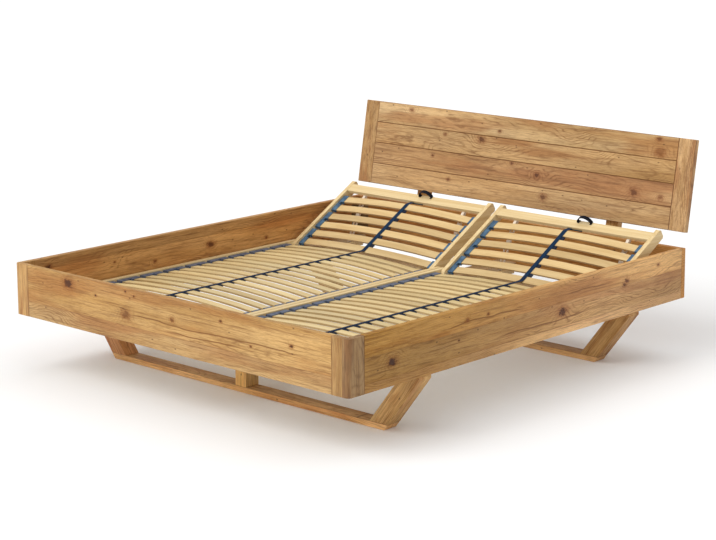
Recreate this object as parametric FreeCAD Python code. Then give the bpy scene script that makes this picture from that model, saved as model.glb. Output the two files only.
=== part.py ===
import FreeCAD, Part
import math
import os

# Floating double bed in solid oak with two slatted bases whose head sections tip up.
# Millimetres. X runs across the bed, Y from the foot to the head, Z up from the floor.
# The origin is on the floor, in the middle of the box round the whole bed.

# Frame of boards
bed_width = 1885.0
frame_length = 2080.0
clear_under = 235.0
rail_height = 215.0
board_thick = 26.0
board_edge = 1.5
corner_side = 82.0
corner_round = 17.5
cleat_wide = 40.0
cleat_high = 27.0
centre_beam_wide = 100.0

# Sled frames under the bed
sled_depth = 70.0
sled_foot_inset = 174.5
runner_high = 24.0
leg_wide = 92.0
leg_trim = 12.0
block_wide = 62.0
front_sled_inset = 374.0
rear_sled_inset = 330.0

# Headboard, its lean from upright in degrees
headboard_lean = 10.0
headboard_lift = 67.0
headboard_set_in = 11.0
plank_count = 4
plank_high = 98.6
stile_wide = 84.0
groove_edge = 2.5
tongue_thick = 7.0
tongue_high = 6.0
bracket_wide = 64.0
bracket_thick = 34.0
bracket_spacing = 1096.0
bracket_below = 190.0
bracket_above = 300.0
low_bolt_shares = (0.16, 0.62)
high_bolt_shares = (0.28, 0.84)

# Steel fixings
bolt_head_radius = 8.0
bolt_head_high = 6.0
washer_side = 24.0
washer_thick = 2.5
angle_leg = 56.0
angle_thick = 3.0
angle_high = 120.0
angle_lift = 30.0

# Slatted bases
base_side_play = 8.5
base_gap = 6.0
base_foot_play = 5.0
base_head_play = 4.0
base_rail_thick = 22.0
base_rail_high = 45.0
base_edge = 1.5
fixed_rail_past = 18.0
foot_cross_wide = 66.0
head_length = 471.4
head_rail_thick = 20.0
head_rail_high = 44.0
head_rail_play = 1.0
head_rail_corner = 7.0
head_cross_wide = 49.0
head_cross_thick = 17.0
head_cross_back = 25.4
mid_cross_thick = 26.0
mid_cross_high = 22.0
mid_cross_back = 38.6
bearer_wide = 22.0
bearer_high = 20.0
bearer_share = 0.699
bearer_play = 2.0

# Slats, bowed upward, held in rubber cap pairs
fixed_pairs = 11
head_pairs = 3
slat_wide = 38.0
slat_thick = 8.0
slat_bow_radius = 4065.0
slat_facets = 6
slat_rise = 10.5
head_slat_rise = 4.0
slat_end_play = 12.0
first_slat_inset = 91.5
last_slat_back = 78.6
first_head_slat = 31.0
last_head_slat_back = 50.0
cap_inset = 55.0
head_cap_inset = 70.6
cap_wall = 4.0
cap_roof = 2.4
cap_play = 0.3
cap_notch_deep = 14.0

# Centre belt, its clips and the pull loop
belt_wide = 14.0
belt_thick = 1.6
belt_tail = 26.0
clip_wide = 34.0
clip_share = 0.76
clip_high = 10.0
clip_shift = 7.0
tie_bar_long = 70.0
tie_bar_high = 7.0
tie_bar_thick = 5.0
loop_start = 18.0
loop_span = 80.0
loop_high = 33.0
loop_wide = 18.0
loop_thick = 2.6
loop_foot = 12.0

# Ratchet stays that hold the head sections up, angles in degrees
raised_angle = 29.87
stay_inset = 148.0
stay_pivot_share = 0.7862
stay_pivot_drop = 12.0
stay_length_share = 0.4179
stay_flat_angle = -3.0
stay_raised_angle = 62.4
stay_half_wide = 5.0
stay_plate = 3.0
stay_corner = 3.0
stay_inner_gap = 15.0
stay_web_shares = (0.12, 0.5)
pin_radius = 3.0
pin_play = 0.3
saddle_play = 0.5
saddle_long = 34.0
saddle_eye = 7.0
pivot_radius = 5.0
pivot_play = 0.3
pivot_head_radius = 6.5
pivot_head_high = 4.0

# Toothed tracks for the feet of the stays, the angles are of the head section
track_thick = 4.0
track_flange = 2.0
track_play = 0.4
track_teeth = 7
tooth_depth = 2.2
tooth_slip = 0.5
track_low_angle = 8.0
track_tail = 6.0
path_step = 0.2

# Places worked out from the sizes above
half_width = bed_width / 2
lean = math.radians(headboard_lean)
rail_top = clear_under + rail_height
headboard_high = plank_count * plank_high
headboard_bottom = rail_top + headboard_lift
planks_reach = headboard_high * math.sin(lean) + board_thick * math.cos(lean)
bracket_reach = bracket_above * math.sin(lean) + (board_thick + bracket_thick) * math.cos(lean)
back_reach = max(planks_reach, bracket_reach) - headboard_set_in
foot_face = -(frame_length + back_reach) / 2
head_face = foot_face + frame_length
headboard_front = head_face - headboard_set_in
inner_half = half_width - board_thick
cleat_top = clear_under + cleat_high

front_sled = foot_face + front_sled_inset
rear_sled = head_face - rear_sled_inset - sled_depth
leg_slope = sled_foot_inset / (clear_under - leg_trim)

bend_front = headboard_bottom - (board_thick / math.cos(lean) - headboard_set_in) / math.tan(lean)
bend_back = bend_front - bracket_thick * math.tan(lean / 2)
bracket_low = rail_top - bracket_below

base_width = inner_half - base_side_play - base_gap / 2
base_foot = foot_face + board_thick + base_foot_play
base_head = head_face - board_thick - base_head_play
base_top = cleat_top + base_rail_high
base_centre = (base_width + base_gap) / 2
base_inner = base_width / 2 - base_rail_thick
head_outer = base_inner - head_rail_play
head_inner = head_outer - head_rail_thick
pivot_y = base_head - head_length
pivot_z = cleat_top + base_rail_high / 2
fixed_rail_end = pivot_y + fixed_rail_past
head_top = pivot_z + head_rail_high / 2
head_cross_rear = base_head - head_cross_back
head_cross_front = head_cross_rear - head_cross_wide
head_cross_low = head_top - head_cross_thick

crown_top = base_top + slat_rise
head_crown_top = head_top + head_slat_rise
fixed_half = base_inner - slat_end_play
head_half = head_inner - slat_end_play
fixed_count = 2 * fixed_pairs
head_count = 2 * head_pairs
first_slat = base_foot + first_slat_inset
slat_pitch = (pivot_y - last_slat_back - first_slat) / (fixed_count - 1)
fixed_slats = [first_slat + i * slat_pitch for i in range(fixed_count)]
head_slats_run = head_cross_front - last_head_slat_back - pivot_y - first_head_slat
head_pitch = head_slats_run / (head_count - 1)
head_slats = [pivot_y + first_head_slat + i * head_pitch for i in range(head_count)]
cap_mouth = base_width / 2 - cap_inset
head_cap_mouth = base_width / 2 - head_cap_inset

stay_x = base_width / 2 - stay_inset
stay_length = head_length * stay_length_share
stay_pivot_y = pivot_y + head_length * stay_pivot_share
stay_pivot_z = pivot_z - stay_pivot_drop
stay_half_gap = stay_inner_gap / 2
stay_half = stay_half_gap + stay_plate
saddle_half = stay_half_gap - saddle_play
bearer_start = stay_half + bearer_play + track_flange
mid_cross_rear = pivot_y - mid_cross_back


def box(x0, x1, y0, y1, z0, z1):
    low = FreeCAD.Vector(min(x0, x1), min(y0, y1), min(z0, z1))
    return Part.makeBox(abs(x1 - x0), abs(y1 - y0), abs(z1 - z0), low)


def eased(shape, size):
    return shape.makeChamfer(size, shape.Edges)


def plate_xz(points, y0, y1):
    wire = Part.makePolygon([FreeCAD.Vector(x, y0, z) for x, z in points + points[:1]])
    return Part.Face(wire).extrude(FreeCAD.Vector(0, y1 - y0, 0))


def plate_yz(points, x0, x1):
    wire = Part.makePolygon([FreeCAD.Vector(x0, y, z) for y, z in points + points[:1]])
    return Part.Face(wire).extrude(FreeCAD.Vector(x1 - x0, 0, 0))


def rod_x(radius, x0, x1, y, z):
    start = FreeCAD.Vector(min(x0, x1), y, z)
    return Part.makeCylinder(radius, abs(x1 - x0), start, FreeCAD.Vector(1, 0, 0))


def clipped_bar(x0, x1, start, end, half, corner):
    """A flat bar that reaches half past two points (y, z), with its corners cut off."""
    (ya, za), (yb, zb) = start, end
    run = math.hypot(yb - ya, zb - za)
    uy, uz = (yb - ya) / run, (zb - za) / run
    reach, short = half, half - corner
    ends = [(-reach, short), (-short, half), (run + short, half), (run + reach, short),
            (run + reach, -short), (run + short, -half), (-short, -half), (-reach, -short)]
    return plate_yz([(ya + uy * a - uz * b, za + uz * a + uy * b) for a, b in ends], x0, x1)


def mirrored(shape):
    return shape.mirror(FreeCAD.Vector(0, 0, 0), FreeCAD.Vector(1, 0, 0))


def moved(shape, x):
    copy = shape.copy()
    copy.translate(FreeCAD.Vector(x, 0, 0))
    return copy


def raised(shape):
    copy = shape.copy()
    copy.rotate(FreeCAD.Vector(0, pivot_y, pivot_z), FreeCAD.Vector(1, 0, 0), raised_angle)
    return copy


def leaned(shape):
    """Tips a shape drawn upright in x, depth and height back to the headboard's lean."""
    copy = shape.copy()
    copy.rotate(FreeCAD.Vector(0, 0, 0), FreeCAD.Vector(1, 0, 0), -headboard_lean)
    copy.translate(FreeCAD.Vector(0, headboard_front, headboard_bottom))
    return copy


# Boards round the mattress
def side_rail(side):
    y0, y1 = foot_face + corner_side, head_face - board_thick
    return eased(box(side * half_width, side * inner_half, y0, y1, clear_under, rail_top), board_edge)


def foot_board():
    reach = half_width - corner_side
    return eased(box(-reach, reach, foot_face, foot_face + board_thick, clear_under, rail_top), board_edge)


def head_end_board():
    y0 = head_face - board_thick
    return eased(box(-half_width, half_width, y0, head_face, clear_under, rail_top), board_edge)


def foot_corner(side):
    """An angle of two glued staves with a well rounded outer corner."""
    inner_x, inner_y = half_width - corner_side, foot_face + corner_side
    block = box(inner_x, half_width, foot_face, inner_y, clear_under, rail_top)
    corner = [e for e in block.Edges
              if abs(e.CenterOfMass.x - half_width) < board_edge
              and abs(e.CenterOfMass.y - foot_face) < board_edge]
    block = block.makeFillet(corner_round, corner)
    inside = box(inner_x, inner_half, foot_face + board_thick, inner_y, clear_under, rail_top)
    post = block.cut(inside)
    return post if side > 0 else mirrored(post)


def side_cleat(side):
    y0, y1 = foot_face + board_thick, head_face - board_thick
    return box(side * inner_half, side * (inner_half - cleat_wide), y0, y1, clear_under, cleat_top)


def centre_beam():
    """A flat beam, halved over both cross beams."""
    half = centre_beam_wide / 2
    middle = clear_under + cleat_high / 2
    beam = box(-half, half, foot_face + board_thick, head_face - board_thick, clear_under, cleat_top)
    for y in (front_sled, rear_sled):
        beam = beam.cut(box(-half, half, y, y + sled_depth, clear_under, middle))
    return beam


# Sled frames
def leg_outside(z):
    return half_width - sled_foot_inset + z * leg_slope


def runner(y):
    low, high = leg_outside(0), leg_outside(runner_high)
    outline = [(-low, 0), (low, 0), (high, runner_high), (-high, runner_high)]
    return eased(plate_xz(outline, y, y + sled_depth), board_edge)


def leg(side, y):
    outline = [
        (leg_outside(runner_high) - leg_wide, runner_high),
        (leg_outside(runner_high), runner_high),
        (half_width, clear_under - leg_trim),
        (half_width, clear_under),
        (leg_outside(clear_under) - leg_wide, clear_under),
    ]
    body = eased(plate_xz(outline, y, y + sled_depth), board_edge)
    return body if side > 0 else mirrored(body)


def centre_block(y):
    half = block_wide / 2
    return eased(box(-half, half, y, y + sled_depth, runner_high, clear_under), board_edge)


def cross_beam(y):
    reach = inner_half - cleat_wide
    half = centre_beam_wide / 2
    middle = clear_under + cleat_high / 2
    beam = box(-reach, reach, y, y + sled_depth, clear_under, cleat_top)
    return beam.cut(box(-half, half, y, y + sled_depth, middle, cleat_top))


# Headboard
def plank(row):
    """One tongued and grooved plank with eased front edges."""
    low, high = row * plank_high, (row + 1) * plank_high
    front, back = board_thick / 2 - tongue_thick / 2, board_thick / 2 + tongue_thick / 2
    outline = [(groove_edge, low), (front, low)]
    if row > 0:
        outline += [(front, low + tongue_high), (back, low + tongue_high)]
    outline += [(back, low), (board_thick, low), (board_thick, high), (back, high)]
    if row < plank_count - 1:
        outline += [(back, high + tongue_high), (front, high + tongue_high)]
    outline += [(front, high), (groove_edge, high), (0, high - groove_edge), (0, low + groove_edge)]
    clean = [p for i, p in enumerate(outline) if p != outline[i - 1]]
    reach = half_width - stile_wide
    return leaned(plate_yz(clean, -reach, reach))


def stile(side):
    upright = box(side * half_width, side * (half_width - stile_wide), 0, board_thick, 0, headboard_high)
    return leaned(eased(upright, groove_edge))


def bolt_places():
    """Outer face points and inward directions of the four bolts of a bracket."""
    places = []
    for share in low_bolt_shares:
        z = bracket_low + share * bracket_below
        places.append((FreeCAD.Vector(0, head_face + bracket_thick, z), FreeCAD.Vector(0, -1, 0)))
    inward = FreeCAD.Vector(0, -math.cos(lean), math.sin(lean))
    for share in high_bolt_shares:
        rise = share * bracket_above * math.cos(lean)
        depth = board_thick / math.cos(lean) + rise * math.tan(lean)
        front = FreeCAD.Vector(0, headboard_front + depth, headboard_bottom + rise)
        places.append((front - inward * bracket_thick, inward))
    return places


def bracket(side):
    """A sawn upright, plumb on the end board and leaning behind the planks."""
    x = side * bracket_spacing / 2
    top_y = headboard_front + bracket_above * math.sin(lean) + board_thick * math.cos(lean)
    top_z = headboard_bottom + bracket_above * math.cos(lean) - board_thick * math.sin(lean)
    outline = [
        (head_face, bracket_low),
        (head_face + bracket_thick, bracket_low),
        (head_face + bracket_thick, bend_back),
        (top_y + bracket_thick * math.cos(lean), top_z - bracket_thick * math.sin(lean)),
        (top_y, top_z),
        (head_face, bend_front),
    ]
    return eased(plate_yz(outline, x - bracket_wide / 2, x + bracket_wide / 2), board_edge)


def hexagon(radius, high, start, way, across):
    """A six-sided head of a bolt that stands along way, with a corner in the direction across."""
    other = way.cross(across)
    corners = []
    for i in range(7):
        turn = math.radians(60 * i)
        corners.append(start + across * (radius * math.cos(turn)) + other * (radius * math.sin(turn)))
    return Part.Face(Part.makePolygon(corners)).extrude(way * high)


def bracket_bolts():
    """Hexagon heads on square washers."""
    bolts = []
    for x in (-bracket_spacing / 2, bracket_spacing / 2):
        for place, inward in bolt_places():
            outward = inward * -1
            across = FreeCAD.Vector(1, 0, 0)
            side_y, half = outward.cross(across), washer_side / 2
            corners = []
            for a, b in ((-half, -half), (half, -half), (half, half), (-half, half), (-half, -half)):
                corners.append(place + FreeCAD.Vector(a, 0, 0) + side_y * b)
            washer = Part.Face(Part.makePolygon(corners)).extrude(outward * washer_thick)
            head = hexagon(bolt_head_radius, bolt_head_high, place + outward * washer_thick, outward, across)
            bolts.append(moved(washer.fuse(head).removeSplitter(), x))
    return bolts


def corner_angles():
    """Steel angles that hold the side rails to the end board."""
    y1 = head_face - board_thick
    low, high = cleat_top + angle_lift, cleat_top + angle_lift + angle_high
    along = box(inner_half - angle_thick, inner_half, y1 - angle_leg, y1, low, high)
    across = box(inner_half - angle_leg, inner_half, y1 - angle_thick, y1, low, high)
    angle = along.fuse(across).removeSplitter()
    return [angle, mirrored(angle)]


# Fixed part of a slatted base, drawn about x = 0
def base_rail(side):
    return eased(box(side * base_width / 2, side * base_inner, base_foot, fixed_rail_end,
                     cleat_top, base_top), base_edge)


def base_cross_rails():
    foot = box(-base_inner, base_inner, base_foot, base_foot + foot_cross_wide, cleat_top, base_top)
    mid = box(-base_inner, base_inner, mid_cross_rear - mid_cross_thick, mid_cross_rear,
              cleat_top, cleat_top + mid_cross_high)
    pieces = [eased(foot, base_edge), mid]
    for side in (-1, 1):
        x = side * stay_x
        pieces.append(box(x + bearer_start, x + bearer_start + bearer_wide, mid_cross_rear,
                          mid_cross_rear + bearer_share * head_length, cleat_top, cleat_top + bearer_high))
    return pieces


def bowed(crown, x):
    """Height of a slat's upper face beside its middle."""
    return crown - x ** 2 / (2 * slat_bow_radius)


def slat(y, half, crown):
    """A slat bowed upward between its ends."""
    steps = [half * (2 * i / slat_facets - 1) for i in range(slat_facets + 1)]
    upper = [(x, bowed(crown, x)) for x in steps]
    lower = [(x, z - slat_thick) for x, z in upper[::-1]]
    return plate_xz(upper + lower, y - slat_wide / 2, y + slat_wide / 2)


def cap(side, y, pitch, half, crown, mouth, rail_face):
    """A rubber cap for the ends of two slats, with a notch between its sockets."""
    reach = pitch / 2 + slat_wide / 2 + cap_wall
    low = bowed(crown, half) - slat_thick - cap_roof
    high = bowed(crown, mouth) + cap_roof
    block = box(mouth, rail_face, y - reach, y + reach, low, high)
    gap = pitch / 2 - slat_wide / 2 - cap_wall
    block = block.cut(box(mouth, mouth + cap_notch_deep, y - gap, y + gap, low, high))
    for offset in (-pitch / 2, pitch / 2):
        wide = slat_wide / 2 + cap_play
        block = block.cut(box(mouth, half + cap_play, y + offset - wide, y + offset + wide,
                              low + cap_roof - cap_play, high - cap_roof + cap_play))
    return block if side > 0 else mirrored(block)


def caps(slats, half, crown, mouth, rail_face):
    pitch = slats[1] - slats[0]
    middles = [y + pitch / 2 for y in slats[0::2]]
    return [cap(side, y, pitch, half, crown, mouth, rail_face) for y in middles for side in (-1, 1)]


def strap(near_end, far_end, crown):
    half = belt_wide / 2
    return box(-half, half, near_end, far_end, crown, crown + belt_thick)


def clips(slats, crown):
    """Clips under the belt, one in the middle of each gap between slats."""
    x0 = clip_shift - clip_wide / 2
    pitch = slats[1] - slats[0]
    half = clip_share * (pitch - slat_wide) / 2
    middles = [y + pitch / 2 for y in slats[:-1]]
    return [box(x0, x0 + clip_wide, y - half, y + half, crown - clip_high, crown)
            for y in middles]


def base_belt():
    """The belt reaches over the hinge line to meet the belt of the head section."""
    return [strap(fixed_slats[0] - belt_tail, pivot_y, crown_top)] + clips(fixed_slats, crown_top)


# Head section, drawn flat about x = 0 and then raised
def head_rail(x0, x1):
    """A rail with a half round end about the pivot and a free end with its corners cut off."""
    half = head_rail_high / 2
    low, high = pivot_z - half, pivot_z + half
    last = base_head - head_rail_corner

    def at(y, z):
        return FreeCAD.Vector(x0, y, z)

    free_end = [
        at(pivot_y, high),
        at(last, high),
        at(base_head, high - head_rail_corner),
        at(base_head, low + head_rail_corner),
        at(last, low),
        at(pivot_y, low),
    ]
    turn = Part.Arc(at(pivot_y, low), at(pivot_y - half, pivot_z), at(pivot_y, high)).toShape()
    outline = Part.Wire(Part.makePolygon(free_end).Edges + [turn])
    return Part.Face(outline).extrude(FreeCAD.Vector(x1 - x0, 0, 0))


def head_rails():
    rails = []
    for side in (-1, 1):
        x0, x1 = sorted((side * head_outer, side * head_inner))
        rail = head_rail(x0, x1).cut(rod_x(pivot_radius + pivot_play, x0, x1, pivot_y, pivot_z))
        rails.append(raised(rail))
    return rails


def head_cross_rail():
    board = box(-head_inner, head_inner, head_cross_front, head_cross_rear, head_cross_low, head_top)
    return raised(eased(board, base_edge))


def head_belt():
    """The belt runs down over the front of the head rail and ends in a short bar."""
    half = belt_wide / 2
    edge = head_slats[-1] + slat_wide / 2
    belt = strap(head_slats[0] - slat_wide / 2, edge, head_crown_top)
    bar_high = head_cross_low + tie_bar_high
    bar_front = head_cross_front - tie_bar_thick
    slope = [
        (edge, head_crown_top - slat_thick),
        (edge, head_crown_top + belt_thick),
        (head_cross_front, bar_high + belt_thick),
        (bar_front, head_cross_low),
    ]
    belt = belt.fuse(plate_yz(slope, -half, half))
    belt = belt.fuse(box(-half, tie_bar_long - half, bar_front, head_cross_front, head_cross_low, bar_high))
    return [raised(piece) for piece in [belt.removeSplitter()] + clips(head_slats, head_crown_top)]


def pull_loop():
    """A webbing handle that arches over the back edge of the head rail."""
    y0 = head_cross_rear - loop_wide

    def arch(inset):
        return [
            FreeCAD.Vector(loop_start + inset, y0, head_top),
            FreeCAD.Vector(loop_start + loop_span / 2, y0, head_top + loop_high - inset),
            FreeCAD.Vector(loop_start + loop_span - inset, y0, head_top),
        ]

    outer, inner = arch(0), arch(loop_thick)
    edges = [
        Part.Arc(*outer).toShape(),
        Part.LineSegment(outer[2], inner[2]).toShape(),
        Part.Arc(*inner[::-1]).toShape(),
        Part.LineSegment(inner[0], outer[0]).toShape(),
    ]
    band = Part.Face(Part.Wire(edges)).extrude(FreeCAD.Vector(0, loop_wide, 0))
    for x in (loop_start, loop_start + loop_span - loop_foot):
        band = band.fuse(box(x, x + loop_foot, y0, y0 + loop_wide, head_top, head_top + loop_thick))
    return raised(band.removeSplitter())


def stay_saddles():
    """Two steel blocks under the head rail, each bored for the pin of its stay."""
    low, high = stay_pivot_z - saddle_eye, stay_pivot_z + saddle_eye
    outline = [
        (head_cross_front, head_cross_low),
        (head_cross_front + saddle_long, head_cross_low),
        (stay_pivot_y + saddle_eye, low),
        (stay_pivot_y - saddle_eye, low),
        (stay_pivot_y - saddle_eye, high),
    ]
    saddles = []
    for x in (-stay_x, stay_x):
        x0, x1 = x - saddle_half, x + saddle_half
        bore = rod_x(pin_radius + pin_play, x0, x1, stay_pivot_y, stay_pivot_z)
        saddles.append(raised(plate_yz(outline, x0, x1).cut(bore)))
    return saddles


def hinge_bolts():
    """Shouldered bolts in the fixed rails, with hexagon heads inside the head section's rails."""
    bolts = []
    for side in (-1, 1):
        shank = rod_x(pivot_radius, side * base_inner, side * head_inner, pivot_y, pivot_z)
        start = FreeCAD.Vector(side * head_inner, pivot_y, pivot_z)
        across, turn = FreeCAD.Vector(0, 0, 1), FreeCAD.Vector(-side, 0, 0)
        head = hexagon(pivot_head_radius, pivot_head_high, start, turn, across)
        bolts.append(shank.fuse(head).removeSplitter())
    return bolts


# Ratchet stays. A stay turns about its pin as the head section turns, in a fixed ratio.
def stay_pin(section_angle):
    turn = math.radians(section_angle)
    run, drop = stay_pivot_y - pivot_y, stay_pivot_z - pivot_z
    return (pivot_y + run * math.cos(turn) - drop * math.sin(turn),
            pivot_z + run * math.sin(turn) + drop * math.cos(turn))


def stay_foot(section_angle):
    y, z = stay_pin(section_angle)
    share = section_angle / raised_angle
    turn = math.radians(stay_flat_angle + share * (stay_raised_angle - stay_flat_angle))
    return (y - stay_length * math.cos(turn), z - stay_length * math.sin(turn))


def stays():
    """Two pressed steel stays, each two arms with a web between a pin and a foot stud."""
    pin, foot = stay_pin(raised_angle), stay_foot(raised_angle)
    uy, uz = (foot[0] - pin[0]) / stay_length, (foot[1] - pin[1]) / stay_length

    def corner(along, out):
        return (pin[0] + uy * along + uz * out, pin[1] + uz * along - uy * out)

    inner, outer = stay_half_wide - stay_plate, stay_half_wide
    start, end = [share * stay_length for share in stay_web_shares]
    web = [corner(start, inner), corner(start, outer), corner(end, outer), corner(end, inner)]
    pieces = []
    for x in (-stay_x, stay_x):
        piece = plate_yz(web, x - stay_half_gap, x + stay_half_gap)
        for x0 in (x - stay_half, x + stay_half_gap):
            piece = piece.fuse(clipped_bar(x0, x0 + stay_plate, pin, foot, stay_half_wide, stay_corner))
        piece = piece.fuse(rod_x(pin_radius, x - stay_half_gap, x + stay_half_gap, *pin))
        stud_at = FreeCAD.Vector(x - stay_half_gap, *foot)
        along, across = FreeCAD.Vector(1, 0, 0), FreeCAD.Vector(0, 0, 1)
        piece = piece.fuse(hexagon(pin_radius, stay_inner_gap, stud_at, along, across))
        pieces.append(piece.removeSplitter())
    return pieces


def track_edge():
    """Points of the toothed edge, which follows the path of the foot stud."""
    points = []
    step = (raised_angle - track_low_angle) / track_teeth
    for i in range(track_teeth + 1):
        notch = track_low_angle + i * step
        for angle, depth in ((notch - tooth_slip, 0), (notch, tooth_depth)):
            y, z = stay_foot(angle)
            before, after = stay_foot(angle - path_step), stay_foot(angle + path_step)
            dy, dz = after[0] - before[0], after[1] - before[1]
            run = math.hypot(dy, dz)
            reach = pin_radius + track_play + depth
            points.append((y + dz / run * reach, z - dy / run * reach))
    return points


def tracks():
    """Toothed steel tracks, each on a flange screwed to its bearer."""
    edge = track_edge()
    low = cleat_top
    first, last = edge[0][0] - track_tail, edge[-1][0] + track_tail
    outline = [(first, low), (first, edge[0][1])] + edge
    outline += [(last, edge[-1][1] + track_tail), (last, low)]
    side_x = stay_half + bearer_play
    pieces = []
    for side in (-1, 1):
        x = side * stay_x
        track = plate_yz(outline, x - track_thick / 2, x + track_thick / 2)
        track = track.fuse(box(x - track_thick / 2, x + side_x + track_flange, first, last,
                               low, low + track_flange))
        track = track.fuse(box(x + side_x, x + side_x + track_flange, first, last, low, low + bearer_high))
        pieces.append(track.removeSplitter())
    return pieces


nodes = {
    "side_rail_left": [side_rail(-1)],
    "side_rail_right": [side_rail(1)],
    "foot_board": [foot_board()],
    "head_end_board": [head_end_board()],
    "foot_corner_left": [foot_corner(-1)],
    "foot_corner_right": [foot_corner(1)],
    "corner_angles": corner_angles(),
    "side_cleat_left": [side_cleat(-1)],
    "side_cleat_right": [side_cleat(1)],
    "centre_beam": [centre_beam()],
    "headboard_stile_left": [stile(-1)],
    "headboard_stile_right": [stile(1)],
    "headboard_bracket_left": [bracket(-1)],
    "headboard_bracket_right": [bracket(1)],
    "bracket_bolts": bracket_bolts(),
}
for row in range(plank_count):
    nodes["headboard_plank_" + str(row + 1)] = [plank(row)]
for place, sled in (("front", front_sled), ("rear", rear_sled)):
    nodes[place + "_runner"] = [runner(sled)]
    nodes[place + "_leg_left"] = [leg(-1, sled)]
    nodes[place + "_leg_right"] = [leg(1, sled)]
    nodes[place + "_centre_block"] = [centre_block(sled)]
    nodes[place + "_cross_beam"] = [cross_beam(sled)]

base_nodes = {
    "base_side_rails": [base_rail(-1), base_rail(1)],
    "base_cross_rails": base_cross_rails(),
    "slats": [slat(y, fixed_half, crown_top) for y in fixed_slats],
    "caps": caps(fixed_slats, fixed_half, crown_top, cap_mouth, base_inner),
    "belt": base_belt(),
    "hinge_bolts": hinge_bolts(),
    "ratchet_tracks": tracks(),
    "head_side_rails": head_rails(),
    "head_cross_rail": [head_cross_rail()],
    "head_slats": [raised(slat(y, head_half, head_crown_top)) for y in head_slats],
    "head_caps": [raised(piece) for piece in
                  caps(head_slats, head_half, head_crown_top, head_cap_mouth, head_inner)],
    "head_belt": head_belt(),
    "pull_loop": [pull_loop()],
    "stay_saddles": stay_saddles(),
    "stays": stays(),
}
for place, x in (("left_", -base_centre), ("right_", base_centre)):
    for name, solids in base_nodes.items():
        nodes[place + name] = [moved(solid, x) for solid in solids]

os.makedirs("parts", exist_ok=True)
for name, solids in nodes.items():
    shape = solids[0] if len(solids) == 1 else Part.makeCompound(solids)
    shape.exportStep("parts/" + name + ".step")
    print(name, len(shape.Solids), shape.isValid())
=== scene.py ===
import math
from functools import partial

import bmesh
import bpy
from mathutils import Matrix, Vector


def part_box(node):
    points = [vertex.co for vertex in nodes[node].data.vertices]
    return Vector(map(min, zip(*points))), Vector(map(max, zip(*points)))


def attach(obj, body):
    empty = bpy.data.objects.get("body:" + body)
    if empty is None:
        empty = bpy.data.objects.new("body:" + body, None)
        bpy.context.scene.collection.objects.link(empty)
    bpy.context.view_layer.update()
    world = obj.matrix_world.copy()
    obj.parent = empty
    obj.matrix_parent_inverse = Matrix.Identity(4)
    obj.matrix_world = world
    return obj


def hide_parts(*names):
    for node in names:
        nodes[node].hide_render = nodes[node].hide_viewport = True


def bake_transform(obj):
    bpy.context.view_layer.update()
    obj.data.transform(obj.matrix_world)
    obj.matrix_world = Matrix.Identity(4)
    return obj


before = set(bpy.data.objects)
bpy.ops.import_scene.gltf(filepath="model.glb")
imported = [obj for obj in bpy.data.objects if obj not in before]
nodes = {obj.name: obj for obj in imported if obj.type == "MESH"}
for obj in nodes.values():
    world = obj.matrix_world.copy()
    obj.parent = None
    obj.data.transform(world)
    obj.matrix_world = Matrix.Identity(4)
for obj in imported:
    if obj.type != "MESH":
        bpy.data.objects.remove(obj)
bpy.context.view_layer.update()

# Camera at the photograph's angle, for an image of 716 x 540
IMAGE_WIDTH, SENSOR = 716.0, 36.0
FOCAL_PIXELS = 2047.8
SHIFT_PIXELS = -72.0
CAMERA_AT = Vector((5.7139, -6.1418, 2.2574))
CAMERA_YAW, CAMERA_PITCH, CAMERA_ROLL = 43.068, 10.6115, -0.2472

camera = bpy.data.objects.new("camera", bpy.data.cameras.new("camera"))
bpy.context.scene.collection.objects.link(camera)
camera.data.sensor_width = SENSOR
camera.data.lens = FOCAL_PIXELS / IMAGE_WIDTH * SENSOR
camera.data.shift_y = SHIFT_PIXELS / IMAGE_WIDTH
camera.data.clip_start, camera.data.clip_end = 0.1, 100.0
turn = (Matrix.Rotation(math.radians(CAMERA_YAW), 4, "Z")
        @ Matrix.Rotation(math.radians(90 - CAMERA_PITCH), 4, "X")
        @ Matrix.Rotation(math.radians(CAMERA_ROLL), 4, "Z"))
camera.matrix_world = Matrix.Translation(CAMERA_AT) @ turn
bpy.context.scene.camera = camera
bpy.context.scene.view_settings.view_transform = "Standard"

# Places of the slatted bases, in metres. Crowns are the tops of the slats, and those of the head
# sections are measured while the sections lie flat, along from the pivot
BASE_CENTRES = {"left_": -0.4555, "right_": 0.4555}
RAISED = math.radians(29.87)
PIVOT_Y, PIVOT_Z = 0.48851, 0.2845
FIXED_SLATS, HEAD_SLATS = 22, 6
SLAT_CROWN, HEAD_SLAT_CROWN = 0.3175, 0.3105
SLAT_PITCH, HEAD_SLAT_PITCH = 0.0656, 0.0632
LAST_SLAT, FIRST_HEAD_SLAT = 0.4099, 0.031
SLAT_BOW_RADIUS = 4.065
CROSS_RAIL_TOP = 0.3065


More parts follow.
